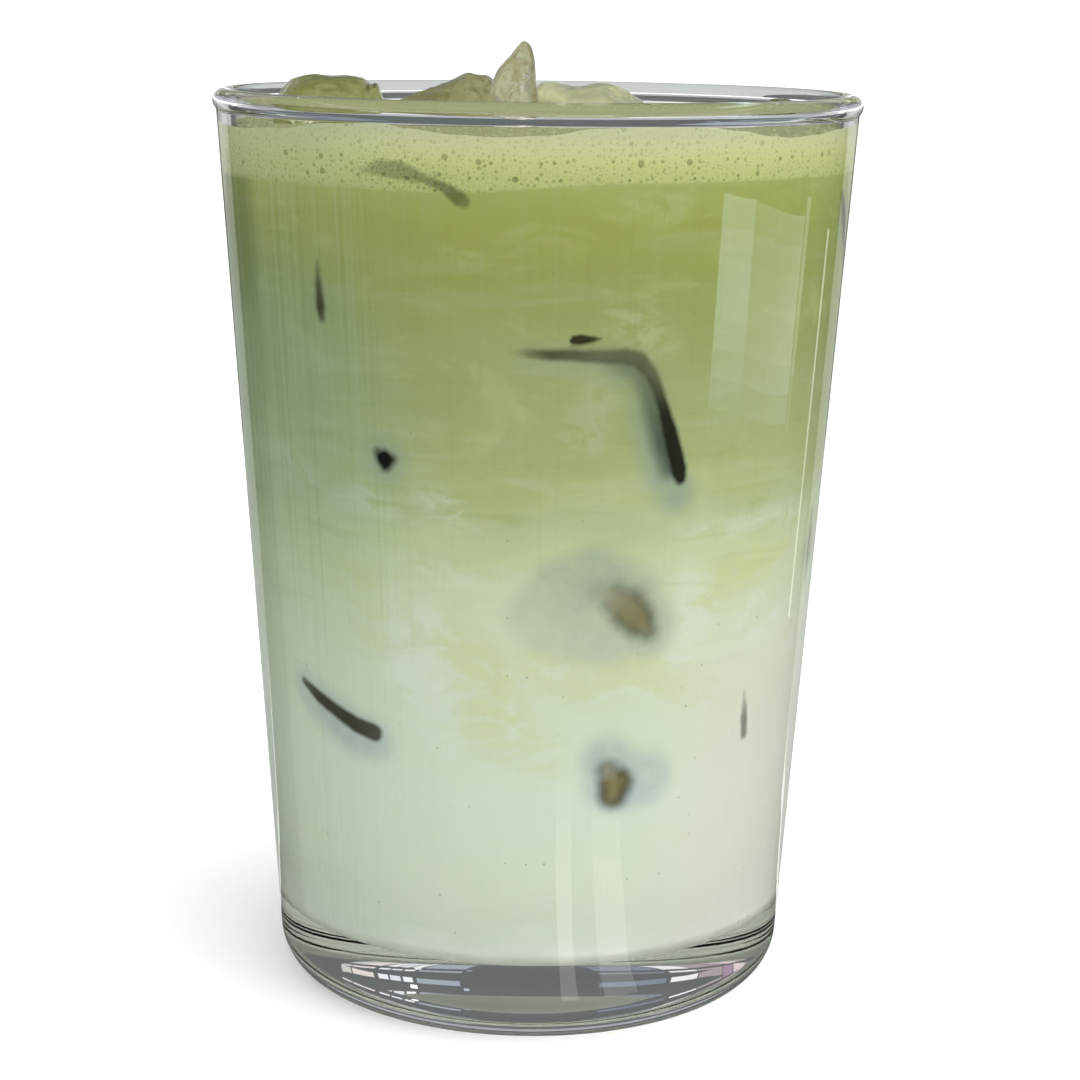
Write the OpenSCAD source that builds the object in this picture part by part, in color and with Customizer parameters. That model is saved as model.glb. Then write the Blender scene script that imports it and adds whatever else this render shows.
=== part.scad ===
// Iced matcha latte in a tall tumbler of clear glass, with melting ice above the level.
// Millimetres. The foot stands on z = 0 round the origin, +Z is up and -Y is the front.

/* [Glass] */
// Height of the glass from the table to the top of its rim
glass_h = 125; // [90:0.5:170]
// Diameter across the rolled rim
rim_d = 88.5; // [66:0.5:110]
// How much smaller the outer diameter would be at the table than at the rim, from the straight taper
taper_d = 17; // [0:0.1:30]
// Thickness of the side wall
wall_t = 2.4; // [1.4:0.1:5]
// Thickness of the rolled bead at the rim
bead_d = 3.1; // [1.6:0.1:5]
// How far the bead stands proud of the wall below it
bead_proud = 0.4; // [0:0.05:1]
// Height of the floor inside over the table: the clear base and the hollow under it together
base_t = 11.5; // [5:0.1:20]
// Radius of the rounded edge between the side and the foot
foot_round = 6.8; // [3:0.1:12]
// Radius of the fillet between the side and the floor inside
floor_round = 2; // [1:0.1:12]
// Depth of the shallow hollow under the foot
punt_depth = 1; // [0.2:0.1:3]
// Width of the flat ring the glass stands on
foot_ring = 3.4; // [1.5:0.1:8]

/* [Drink] */
// How far the top of the drink lies below the top of the rim
head_space = 4.6; // [1:0.1:20]
// Thickness of the foam
foam_t = 5.2; // [2:0.1:20]
// Depth of the green matcha under the foam
matcha_t = 38; // [15:0.5:60]
// Depth of the pale layer where the matcha runs down into the milk
blend_t = 31; // [10:0.5:50]
// Height by which the drink climbs the glass at its edge
meniscus_h = 0.9; // [0:0.05:2]
// How far up and down the edge of the top runs
top_wave = 0.3; // [0:0.05:1.5]
// How far up and down the bottom of the foam runs
foam_wave = 0.5; // [0:0.05:2]
// How far up and down the bottom of the matcha runs
matcha_wave = 1.8; // [0:0.1:5]
// How far up and down the top of the milk runs
milk_wave = 2.2; // [0:0.1:5]

/* [Ice] */
// Width, depth and height of the slab of ice at the left
slab_size = [15.2, 19, 15];
// Height of the top of the slab above the drink
slab_up = 6.4; // [1:0.1:12]
// Width, depth and height of the ridged piece left of the middle
ridge_size = [15.5, 17, 15];
// Height of the top of the ridge above the drink
ridge_up = 6.2; // [1:0.1:12]
// Width, depth and height of the upright splinter
spike_size = [8, 8.4, 25];
// Height of the splinter's tip above the drink
spike_up = 10.8; // [3:0.1:20]
// Width, depth and height of the chunk right of the middle
chunk_size = [16.6, 15, 14];
// Height of the top of the chunk above the drink
chunk_up = 5.7; // [1:0.1:12]
// Width, depth and height of the small piece at the back right
nub_size = [6.4, 8, 9];
// Height of the top of the small piece above the drink
nub_up = 3.7; // [0.5:0.1:8]
// Spare width of the drink's surface, shared out from the left: glass to slab, slab to ridge, ridge to chunk, chunk to small piece, small piece to glass
ice_spread = [16.4, 0.9, 18.2, 52, 12.5];
// How far back of the middle the slab, the ridge and the chunk lie
ice_back = [-3, 9.5, 9.5];
// Angle of the small piece round the glass, from the right towards the back
nub_turn = 17.7114; // [0:0.0001:60]
// Distance from the glass to the middle of the small piece
nub_in = 5.0846; // [4.5:0.0001:12]
// Gap between the splinter and the ridge and chunk behind it
spike_gap = 0.8; // [0.2:0.1:4]

/* [Hidden] */
$fn = 128;
// clearance between the glass and what fills it
fill_clear = 0.06;
// clearance between one layer and the next
layer_clear = 0.06;
// clearance between a piece of ice and the drink it floats in
ice_clear = 0.08;
// facets round a layer and round a piece of ice
layer_seg = 72;
ice_seg = 18;
ice_rows = 10;

// outer wall: radius at height z
rim_r = rim_d / 2;
slope = (taper_d / 2) / glass_h;
foot_r0 = rim_r - bead_proud - slope * (glass_h - bead_d / 2);
lean = atan(slope);
function r_out(z) = foot_r0 + slope * z;
function r_in(z) = r_out(z) - wall_t;
// centre of the rounded foot edge and of the floor fillet
foot_cx = foot_r0 + slope * foot_round - foot_round / cos(lean);
floor_cx = r_in(base_t + floor_round) - floor_round / cos(lean);
bead_z = glass_h - bead_d / 2;
punt_r = foot_cx - foot_ring;
// radius of the ball that presses the hollow under the foot
punt_ball = (punt_r * punt_r + punt_depth * punt_depth) / (2 * punt_depth);

// heights of the layers
level = glass_h - head_space;
foam_z = level - foam_t;
matcha_z = foam_z - matcha_t;
milk_z = matcha_z - blend_t;

// places of the ice on the surface
level_r = r_in(level);
spare = 2 * level_r - slab_size[0] - ridge_size[0] - chunk_size[0] - nub_size[0];
spread_sum = ice_spread[0] + ice_spread[1] + ice_spread[2] + ice_spread[3] + ice_spread[4];
function share(k) = max(spare, 0) * ice_spread[k] / spread_sum;
slab_x = -level_r + share(0) + slab_size[0] / 2;
ridge_x = slab_x + slab_size[0] / 2 + share(1) + ridge_size[0] / 2;
chunk_x = ridge_x + ridge_size[0] / 2 + share(2) + chunk_size[0] / 2;
nub_at = [(level_r - nub_in) * cos(nub_turn), (level_r - nub_in) * sin(nub_turn)];
spike_x = (ridge_x + chunk_x) / 2 - 1.2;
spike_y = min(ice_back[1] - ridge_size[1] / 2, ice_back[2] - chunk_size[1] / 2) - spike_gap - spike_size[1] / 2;

// ---------- shared shapes ----------

// A closed skin over rows of points, each row a full turn of n points, with one point below and one above.
module skin(rows, bottom, top) {
    n = len(rows[0]);
    m = len(rows);
    pts = concat([bottom], [for (row = rows) each row], [top]);
    last = m * n + 1;
    faces = concat(
        [for (j = [0:n - 1]) [0, 1 + j, 1 + (j + 1) % n]],
        [for (i = [0:m - 2], j = [0:n - 1])
            each [[1 + i * n + j, 1 + (i + 1) * n + j, 1 + (i + 1) * n + (j + 1) % n],
                  [1 + i * n + j, 1 + (i + 1) * n + (j + 1) % n, 1 + i * n + (j + 1) % n]]],
        [for (j = [0:n - 1]) [last, 1 + (m - 1) * n + (j + 1) % n, 1 + (m - 1) * n + j]]
    );
    polyhedron(points = pts, faces = faces, convexity = 6);
}

// Slow swell of a layer's surface over the plan of the glass, from -a to a.
function swell(x, y, a, turn) =
    a * (sin(4.1 * x + turn) + cos(3.3 * y - 2 * turn) + 0.6 * sin(5.2 * (x + 0.7 * y) + 3 * turn)) / 2.6;

// Height of each boundary over the plan.
function top_at(x, y) = level + swell(x, y, top_wave, 40)
    + meniscus_h * exp((sqrt(x * x + y * y) - r_in(level)) / 1.3);
function foam_at(x, y) = foam_z + swell(x, y, foam_wave, 150);
function matcha_at(x, y) = matcha_z + swell(x, y, matcha_wave, 265);
function milk_at(x, y) = milk_z + swell(x, y, milk_wave, 20);

function at(k, x, y) = k == 3 ? top_at(x, y) : k == 2 ? foam_at(x, y) : k == 1 ? matcha_at(x, y) : milk_at(x, y);
function fill_r(z) = r_in(z) - fill_clear;

// One ring of a boundary at a share f of the way out to the glass, raised by up.
function ring(k, f, up) = [for (j = [0:layer_seg - 1])
    let (a = 360 * j / layer_seg, r0 = f * fill_r(at(k, 0, 0)), z0 = at(k, r0 * cos(a), r0 * sin(a)) + up,
         r = f * fill_r(z0))
    [r * cos(a), r * sin(a), z0]];
function face_rings(k, fs, up) = [for (f = fs) ring(k, f, up)];
function mid(k, up) = [0, 0, at(k, 0, 0) + up];

// Rings of the bottom of the drink, over the floor and up its fillet.
function floor_rings() = concat(
    [for (f = [0.5, 1]) [for (j = [0:layer_seg - 1])
        let (a = 360 * j / layer_seg) [f * floor_cx * cos(a), f * floor_cx * sin(a), base_t + fill_clear]]],
    [for (s = [1:4]) [for (j = [0:layer_seg - 1])
        let (a = 360 * j / layer_seg, t = (90 - lean) * s / 4, r = floor_cx + (floor_round - fill_clear) * sin(t),
             z = base_t + floor_round - (floor_round - fill_clear) * cos(t))
        [r * cos(a), r * sin(a), z]]]
);

// signed power, for rounded blocks
function spow(v, e) = sign(v) * pow(abs(v), e);

// A melted block: half sizes s, corners by the powers eh in plan, eu above and ed below,
// waist of dents by lump, the top leant over by tip, all faces moved out by grow.
function ice_rings(s, eh, eu, ed, lump, turn, tip, grow) = [for (i = [1:ice_rows - 1])
    let (p = -90 + 180 * i / ice_rows, ev = p > 0 ? eu : ed, c = pow(cos(p), ev), zz = spow(sin(p), ev))
    [for (j = [0:ice_seg - 1])
        let (a = 360 * j / ice_seg,
             w = 1 + lump * (sin(2 * a + turn) * cos(p + turn) + 0.6 * sin(3 * a - turn) * sin(2 * p)))
        [(s[0] + grow) * c * w * spow(cos(a), eh) + tip[0] * max(zz, 0),
         (s[1] + grow) * c * w * spow(sin(a), eh) + tip[1] * max(zz, 0),
         (s[2] + grow) * zz]]];

module ice_block(size, up, at, eh, eu, ed, lump, turn, tip, yaw, grow) {
    s = size / 2;
    translate([at[0], at[1], level + up - s[2]]) rotate([0, 0, yaw])
        skin(ice_rings(s, eh, eu, ed, lump, turn, tip, grow), [0, 0, -s[2] - grow], [tip[0], tip[1], s[2] + grow]);
}

module slab_body(grow = 0) ice_block(slab_size, slab_up, [slab_x, ice_back[0]], 0.55, 0.55, 0.7, 0.05, 30, [1.2, 0], 6, grow);
module ridge_body(grow = 0) ice_block(ridge_size, ridge_up, [ridge_x, ice_back[1]], 0.7, 1.2, 0.7, 0.06, 100, [3.4, 0], -8, grow);
module spike_body(grow = 0) ice_block(spike_size, spike_up, [spike_x, spike_y], 0.8, 1.15, 0.8, 0.04, 200, [0.7, 0.6], 12, grow);
module chunk_body(grow = 0) ice_block(chunk_size, chunk_up, [chunk_x, ice_back[2]], 0.6, 0.55, 0.7, 0.05, 300, [-1, 0], -4, grow);
module nub_body(grow = 0) ice_block(nub_size, nub_up, nub_at, 0.8, 0.7, 0.8, 0.05, 60, [0, 0], 15, grow);

module all_ice(grow) {
    slab_body(grow);
    ridge_body(grow);
    spike_body(grow);
    chunk_body(grow);
    nub_body(grow);
}

// ---------- nodes ----------

// Tumbler: straight tapered wall, rolled rim, thick clear base with a shallow hollow under it.
module glass() color([0.85, 0.93, 0.92, 0.35]) rotate_extrude() {
    difference() {
        union() {
            polygon([[0, 0], [foot_cx, 0],
                     [foot_cx + foot_round * cos(lean), foot_round - foot_round * sin(lean)],
                     [r_out(bead_z), bead_z], [0, bead_z]]);
            intersection() {
                translate([foot_cx, foot_round]) circle(foot_round);
                translate([foot_cx, 0]) square([2 * foot_round, foot_round]);
            }
        }
        // inside of the glass, with a fillet round its floor
        polygon([[-1, base_t], [floor_cx, base_t],
                 [floor_cx + floor_round * cos(lean), base_t + floor_round - floor_round * sin(lean)],
                 [r_in(bead_z + 1), bead_z + 1], [-1, bead_z + 1]]);
        intersection() {
            translate([floor_cx, base_t + floor_round]) circle(floor_round);
            translate([floor_cx, base_t - 1]) square([floor_round + 2, floor_round + 1]);
        }
        // shallow hollow under the foot
        intersection() {
            translate([0, punt_depth - punt_ball]) circle(punt_ball);
            translate([0, -1]) square([punt_ball, punt_depth + 2]);
        }
        translate([-2, -1]) square([2, glass_h]);
    }
    // bead rolled round the rim
    translate([rim_r - bead_d / 2, bead_z]) circle(bead_d / 2);
}

// White milk that fills the bottom of the glass.
module milk() color([0.80, 0.86, 0.74])
    skin(concat(floor_rings(), face_rings(0, [1, 0.8, 0.55, 0.28], -layer_clear / 2)),
         [0, 0, base_t + fill_clear], mid(0, -layer_clear / 2));

// Pale green layer in which the matcha sinks into the milk.
module blend() color([0.74, 0.80, 0.60])
    skin(concat(face_rings(0, [0.28, 0.55, 0.8, 1], layer_clear / 2), face_rings(1, [1, 0.8, 0.55, 0.28], -layer_clear / 2)),
         mid(0, layer_clear / 2), mid(1, -layer_clear / 2));

// Green matcha, cut round the feet of the ice.
module matcha() color([0.58, 0.65, 0.34]) difference() {
    skin(concat(face_rings(1, [0.28, 0.55, 0.8, 1], layer_clear / 2), face_rings(2, [1, 0.7, 0.35], -layer_clear / 2)),
         mid(1, layer_clear / 2), mid(2, -layer_clear / 2));
    all_ice(ice_clear);
}

// Foam on the top, cut round the ice that stands through it.
module foam() color([0.74, 0.79, 0.50]) difference() {
    skin(concat(face_rings(2, [0.35, 0.7, 1], layer_clear / 2), face_rings(3, [1, 0.975, 0.94, 0.86, 0.62, 0.32], 0)),
         mid(2, layer_clear / 2), mid(3, 0));
    all_ice(ice_clear);
}

// Rounded slab of ice at the left.
module ice_slab() color([0.55, 0.57, 0.33, 0.8]) slab_body();

// Low ridge of ice left of the middle.
module ice_ridge() color([0.55, 0.54, 0.36, 0.8]) ridge_body();

// Upright splinter of clear ice.
module ice_spike() color([0.70, 0.70, 0.55, 0.8]) spike_body();

// Flat chunk of ice right of the middle.
module ice_chunk() color([0.68, 0.70, 0.50, 0.8]) chunk_body();

// Small piece of ice at the back right.
module ice_nub() color([0.45, 0.47, 0.30, 0.8]) nub_body();

glass();
milk();
blend();
matcha();
foam();
ice_slab();
ice_ridge();
ice_spike();
ice_chunk();
ice_nub();
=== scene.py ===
"""An iced matcha latte in a tall tumbler of clear glass: its looks, a pale floor, soft light and the camera.

Sizes are in millimetres and are turned to metres as each mesh is made. Angles round the glass run from the front (-Y)
towards +X.
"""

import math

import bpy
import numpy as np
from mathutils import Matrix, Vector


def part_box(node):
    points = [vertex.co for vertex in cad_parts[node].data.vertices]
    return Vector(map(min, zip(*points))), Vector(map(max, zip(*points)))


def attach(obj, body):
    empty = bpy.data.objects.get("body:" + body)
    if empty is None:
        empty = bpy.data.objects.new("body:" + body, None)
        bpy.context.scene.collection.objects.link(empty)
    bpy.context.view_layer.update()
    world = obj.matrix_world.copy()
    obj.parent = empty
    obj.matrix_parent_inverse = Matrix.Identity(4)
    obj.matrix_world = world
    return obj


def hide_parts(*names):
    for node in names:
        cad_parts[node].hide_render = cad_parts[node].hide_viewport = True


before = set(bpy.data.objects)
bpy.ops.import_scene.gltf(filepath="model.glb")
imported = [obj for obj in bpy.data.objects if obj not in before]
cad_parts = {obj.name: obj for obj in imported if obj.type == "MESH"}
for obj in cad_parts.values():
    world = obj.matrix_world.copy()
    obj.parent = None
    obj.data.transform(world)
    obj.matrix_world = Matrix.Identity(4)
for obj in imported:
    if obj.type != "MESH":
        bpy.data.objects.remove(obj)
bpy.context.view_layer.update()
MM = 0.001
rng = np.random.default_rng(7)

# ---------- sizes, as in the CAD part
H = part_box("glass")[1].z / MM
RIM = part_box("glass")[1].x / MM
TAPER, WALL, BEAD, PROUD = 17.0, 2.4, 3.1, 0.4  # the bead is the rolled rim; it stands proud of the wall
BASE, FOOT_ROUND, FLOOR_ROUND = 11.5, 6.8, 2.0
PUNT, RING = 1.0, 3.4  # depth of the hollow under the foot, and the width of the ring round it
HEAD, FOAM_T, MATCHA_T, BLEND_T = 4.6, 5.2, 38, 31  # free space under the rim, then the layers from the top
LEVEL = H - HEAD
FOAM_Z = LEVEL - FOAM_T
MATCHA_Z = FOAM_Z - MATCHA_T
MILK_Z = MATCHA_Z - BLEND_T
BITE = 0.12  # how far the drink reaches into the glass

SLOPE = TAPER / 2 / H
R0 = RIM - PROUD - SLOPE * (H - BEAD / 2)
LEAN = math.atan(SLOPE)


def r_out(z):
    return R0 + SLOPE * z


def r_in(z):
    return r_out(z) - WALL


FOOT_C = R0 + SLOPE * FOOT_ROUND - FOOT_ROUND / math.cos(LEAN)
FLOOR_C = r_in(BASE + FLOOR_ROUND) - FLOOR_ROUND / math.cos(LEAN)
BEAD_Z = H - BEAD / 2
PUNT_R = FOOT_C - RING


def sind(a):
    return np.sin(np.radians(a))


def cosd(a):
    return np.cos(np.radians(a))


def swell(x, y, a, turn):
    """A slow rise and fall of up to a mm across the glass."""
    return a * (sind(4.1 * x + turn) + cosd(3.3 * y - 2 * turn) + 0.6 * sind(5.2 * (x + 0.7 * y) + 3 * turn)) / 2.6


def smooth(lo, hi, v):
    t = np.clip((v - lo) / (hi - lo), 0, 1)
    return t * t * (3 - 2 * t)


# ---------- meshes
def mesh_piece(name, verts, faces, node=None, slot=None, attrs=None):
    """One smooth piece from points in mm and faces."""
    me = bpy.data.meshes.new(name)
    me.from_pydata([tuple(v) for v in np.asarray(verts) * MM], [], faces)
    me.polygons.foreach_set("use_smooth", [True] * len(me.polygons))
    for key, values in (attrs or {}).items():
        me.attributes.new(key, "FLOAT", "POINT").data.foreach_set("value", np.asarray(values, np.float32))
    me.update()
    ob = bpy.data.objects.new(name, me)
    bpy.context.scene.collection.objects.link(ob)
    if slot:
        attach(ob, "root")
    if node:
        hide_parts(node)
    return ob


def grid_faces(rows, n, first=0):
    """Quads between rows of n points that each go once round."""
    out = []
    for i in range(rows - 1):
        a = first + i * n
        out += [(a + j, a + (j + 1) % n, a + n + (j + 1) % n, a + n + j) for j in range(n)]
    return out


def lathe(profile, n):
    """Turns (r, z) points round the axis. A point on the axis closes the skin there."""
    verts, faces, rows = [], [], []
    ang = np.arange(n) * 2 * math.pi / n
    for r, z in profile:
        if r < 1e-6:
            rows.append([len(verts)])
            verts.append((0, 0, z))
        else:
            rows.append(list(range(len(verts), len(verts) + n)))
            verts += [(r * math.sin(a), -r * math.cos(a), z) for a in ang]
    for a, b in zip(rows[:-1], rows[1:]):
        for j in range(n):
            k = (j + 1) % n
            if len(a) == 1:
                faces.append((a[0], b[k], b[j]))
            elif len(b) == 1:
                faces.append((a[j], a[k], b[0]))
            else:
                faces.append((a[j], a[k], b[k], b[j]))
    return verts, faces


def arc(cx, cz, r, a0, a1, n):
    turns = [math.radians(a0 + (a1 - a0) * i / n) for i in range(n + 1)]
    return [(cx + r * math.cos(a), cz + r * math.sin(a)) for a in turns]


# ---------- the glass
def glass_profile():
    """Half section of the tumbler: under the foot, up the outside, over the bead and down the inside."""
    ball = (PUNT_R * PUNT_R + PUNT * PUNT) / (2 * PUNT)
    p = [(0.0, PUNT)]
    for f in (0.15, 0.3, 0.45, 0.6, 0.72, 0.82, 0.9, 0.96, 0.985):
        p.append((PUNT_R * f, PUNT - ball + math.sqrt(ball * ball - (PUNT_R * f) ** 2)))
    p += [(PUNT_R + 0.15, 0.0), (PUNT_R + 0.6, 0.0), (FOOT_C - 0.5, 0.0)]
    p += arc(FOOT_C, FOOT_ROUND, FOOT_ROUND, -90, -math.degrees(LEAN), 26)
    zs = list(np.linspace(FOOT_ROUND + 0.4, BEAD_Z - 2.4, 14))
    # where the outside and the inside of the wall meet the bead
    bx = RIM - BEAD / 2
    dz_out = math.sqrt(max((BEAD / 2) ** 2 - (r_out(BEAD_Z) - bx) ** 2, 0.01))
    dz_in = math.sqrt(max((BEAD / 2) ** 2 - (bx - r_in(BEAD_Z)) ** 2, 0.01))
    p += [(r_out(z), z) for z in zs + [BEAD_Z - dz_out - 0.45, BEAD_Z - dz_out - 0.2]]
    a_out = -math.degrees(math.asin(dz_out / (BEAD / 2)))
    a_in = 180 + math.degrees(math.asin(dz_in / (BEAD / 2)))
    p += arc(bx, BEAD_Z, BEAD / 2, a_out + 8, a_in - 8, 44)
    down = [BEAD_Z - dz_in - 0.2, BEAD_Z - dz_in - 0.45] + zs[::-1]
    p += [(r_in(z), z) for z in down if z > BASE + FLOOR_ROUND + 0.3]
    p += arc(FLOOR_C, BASE + FLOOR_ROUND, FLOOR_ROUND, -math.degrees(LEAN), -90, 20)
    p += [(FLOOR_C * f, BASE) for f in (0.97, 0.9, 0.6, 0.3)] + [(0.0, BASE)]
    return p


glass_verts, glass_faces = lathe(glass_profile(), 576)
gv = np.array(glass_verts)
ga, gr = np.arctan2(gv[:, 0], -gv[:, 1]), np.hypot(gv[:, 0], gv[:, 1])
# faint upright lines left by drawing the glass, about a hundredth of a millimetre deep
waves = (23, 37, 41, 59, 67, 83, 97, 113)
lines = sum(rng.uniform(0.3, 1.0) * np.sin(k * ga + rng.uniform(0, 6.3)) for k in waves) / 4
lines *= smooth(8, 14, gv[:, 2]) * smooth(BEAD_Z - 2.6, BEAD_Z - 5, gv[:, 2]) * (gr > r_in(gv[:, 2]) + WALL / 2)
LINE_DEPTH = 0.010
gv[:, :2] *= (1 + LINE_DEPTH * lines / np.maximum(gr, 1))[:, None]
glass = mesh_piece("tumbler", gv, glass_faces, "glass", "clear_glass")

# ---------- places of the ice, as in the CAD part
SLAB, RIDGE, SPIKE, CHUNK, NUB = (15.2, 19, 15), (15.5, 17, 15), (8, 8.4, 25), (16.6, 15, 14), (6.4, 8, 9)
NUB_IN, NUB_TURN = 5.0846, 17.7114  # how far in from the glass, and the angle round it from +X
SLAB_Y, BACK_Y = -3, 9.5  # middle of the slab, and of the ridge and the chunk
SPIKE_LEFT, SPIKE_GAP = 1.2, 0.8  # the spike, left of the middle between those two and clear in front of them
spread = (16.4, 0.9, 18.2, 52, 12.5)  # how the spare width is shared out, from left to right
level_r = r_in(LEVEL)
spare = 2 * level_r - SLAB[0] - RIDGE[0] - CHUNK[0] - NUB[0]
share = [spare * s / sum(spread) for s in spread]
slab_x = -level_r + share[0] + SLAB[0] / 2
ridge_x = slab_x + SLAB[0] / 2 + share[1] + RIDGE[0] / 2
chunk_x = ridge_x + RIDGE[0] / 2 + share[2] + CHUNK[0] / 2
nub_turn = math.radians(NUB_TURN)
nub_at = ((level_r - NUB_IN) * math.cos(nub_turn), (level_r - NUB_IN) * math.sin(nub_turn))
spike_x = (ridge_x + chunk_x) / 2 - SPIKE_LEFT
spike_y = BACK_Y - max(RIDGE[1], CHUNK[1]) / 2 - SPIKE_GAP - SPIKE[1] / 2

# name: size, height over the drink, place, powers in plan, above and below, dents, turn, tip, yaw
ICE = {
    "ice_slab": (SLAB, 6.4, (slab_x, SLAB_Y), 0.55, 0.55, 0.7, 0.05, 30, (1.2, 0), 6),
    "ice_ridge": (RIDGE, 6.2, (ridge_x, BACK_Y), 0.7, 1.0, 0.7, 0.06, 100, (3.4, 0), -8),
    "ice_spike": (SPIKE, 10.8, (spike_x, spike_y), 0.8, 0.95, 0.8, 0.04, 200, (0.7, 0.6), 12),
    "ice_chunk": (CHUNK, 5.7, (chunk_x, BACK_Y), 0.6, 0.55, 0.7, 0.05, 300, (-1, 0), -4),
    "ice_nub": (NUB, 3.7, nub_at, 0.8, 0.7, 0.8, 0.05, 60, (0, 0), 15),
}


def spow(v, e):
    return np.sign(v) * np.abs(v) ** e


def wavy(p, seed, scale):
    """Soft noise from -1 to 1 at points p in mm: a few crossing waves, no two alike."""
    r = np.random.default_rng(seed)
    out = np.zeros(len(p))
    for _ in range(9):
        d = r.normal(size=3)
        d /= np.linalg.norm(d)
        f = (0.6 + 0.9 * r.random()) / scale * 2 * math.pi
        q = p @ d * f + r.random() * 6.3
        d2 = r.normal(size=3)
        d2 /= np.linalg.norm(d2)
        out += np.sin(q + 1.1 * np.sin(p @ d2 * f * 0.7 + r.random() * 6.3))
    return out / 4.5


def melt(name, v):
    """The shapes the pieces melted to over the drink."""
    size, up, at = ICE[name][:3]
    h = smooth(LEVEL + 0.5, LEVEL + up, v[:, 2])
    x = (v[:, 0] - at[0]) / (size[0] / 2)
    bell = lambda c, w: np.exp(-((x - c) / w) ** 2)
    v = v.copy()
    if name == "ice_slab":  # flat top, sloped at its left, a notch near its right end
        notch = -0.6 * bell(0.80, 0.09) + 0.4 * bell(0.98, 0.07)
        v[:, 2] += h * (notch + 0.3 * bell(-0.3, 0.3) - 0.9 * smooth(-0.6, -1.1, x))
    elif name == "ice_ridge":  # a crest with a low tail to the left
        v[:, 2] += h * (0.5 * bell(0.45, 0.16) - 0.4 * bell(-0.1, 0.2) + 1.3 * bell(0.95, 0.3))
        v[:, 0] -= 5.0 * smooth(LEVEL + up * 0.75, LEVEL, v[:, 2]) * smooth(0.1, -0.8, x)
    elif name == "ice_spike":  # a fin, bowed at its left, sloped straight at its right, with a narrow top
        bow = np.sin(math.pi * np.clip(h, 0, 1))
        v[:, 0] = at[0] + 0.5 + (v[:, 0] - at[0]) * (1 - 0.30 * h ** 2) + 1.0 * h
        v[:, 0] -= 0.8 * bow * smooth(0.1, -0.5, x) + 0.7 * bow * smooth(0.0, 0.8, x)
        v[:, 2] += 0.75 * h
        v[:, 1] += 0.5 * h
    elif name == "ice_chunk":  # low and flat with small bumps, reaching behind the splinter
        bumps = 0.55 * bell(-0.75, 0.18) - 0.55 * bell(-0.3, 0.25) + 0.2 * bell(0.25, 0.25)
        v[:, 2] += h * (bumps - 0.3 - 0.9 * smooth(-0.1, 0.8, x))
        v[:, 0] -= 1.6 * smooth(LEVEL, LEVEL + up, v[:, 2]) * smooth(-0.3, -0.9, x)
    return v


def ice_shape(name, rows=110, n=150):
    """Points and faces of a piece of ice: a rounded block that has melted unevenly."""
    size, up, at, eh, eu, ed, lump, turn, tip, yaw = ICE[name]
    s = np.array(size) / 2
    verts = [(0, 0, -s[2])]
    a = 360 * np.arange(n) / n
    for i in range(1, rows):
        p = -90 + 180 * i / rows
        ev = eu if p > 0 else ed
        c = cosd(p) ** ev
        zz = float(spow(sind(p), ev))
        w = 1 + lump * (sind(2 * a + turn) * cosd(p + turn) + 0.6 * sind(3 * a - turn) * sind(2 * p))
        x = s[0] * c * w * spow(cosd(a), eh) + tip[0] * max(zz, 0)
        y = s[1] * c * w * spow(sind(a), eh) + tip[1] * max(zz, 0)
        verts += list(zip(x, y, np.full(n, s[2] * zz)))
    verts.append((tip[0], tip[1], s[2]))
    v = np.array(verts, float)
    ca, sa = math.cos(math.radians(yaw)), math.sin(math.radians(yaw))
    x, y = v[:, 0] * ca - v[:, 1] * sa, v[:, 0] * sa + v[:, 1] * ca
    v = melt(name, np.c_[x + at[0], y + at[1], v[:, 2] + LEVEL + up - s[2]])
    last = len(v) - 1
    faces = [(0, 1 + (j + 1) % n, 1 + j) for j in range(n)] + grid_faces(rows - 1, n, 1)
    faces += [(last, 1 + (rows - 2) * n + j, 1 + (rows - 2) * n + (j + 1) % n) for j in range(n)]
    out = v - v.mean(0)
    out /= np.linalg.norm(out, axis=1)[:, None] + 1e-9
    seed = sum(map(ord, name))
    d = 0.28 * wavy(v, seed, 7.0) + 0.10 * wavy(v, seed + 1, 2.6) - 0.25
    return v + out * d[:, None], faces


def footprint(x, y, name):
    """How far in mm a point is inside the place where a piece of ice stands. Outside it is less than 0."""
    size, _, at, eh = ICE[name][:4]
    yaw = math.radians(ICE[name][-1])
    ca, sa = math.cos(yaw), math.sin(yaw)
    u, v = (x - at[0]) * ca + (y - at[1]) * sa, -(x - at[0]) * sa + (y - at[1]) * ca
    f = (np.abs(u / (size[0] / 2)) ** (2 / eh) + np.abs(v / (size[1] / 2)) ** (2 / eh)) ** (eh / 2)
    return (1 - f) * min(size[0], size[1]) / 2


# ---------- the drink
# Height of the drink's edge at the glass over its level, by angle: it dips where ice lies close behind the glass.
EDGE = [(-180, 0.7), (-150, 1.0), (-120, 0.6), (-92, 0.4), (-64, 0.1), (-50, 0.5), (-37, 1.5), (-28, 1.9), (-22, 1.2),
        (-14, 0.6), (-6, 0.4), (2, 0.7), (10, 1.5), (19, 1.8), (28, 1.7), (37, 1.1), (44, 0.4), (49, 0.1), (56, 0.3),
        (67, 0.8), (90, 1.1), (120, 0.5), (150, 0.9), (180, 0.7)]


def edge_at(deg):
    a, h = np.array(EDGE).T
    i = np.clip(np.searchsorted(a, deg, side="right") - 1, 0, len(a) - 2)
    t = (deg - a[i]) / (a[i + 1] - a[i])
    t = t * t * (3 - 2 * t)
    return h[i] * (1 - t) + h[i + 1] * t


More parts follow.
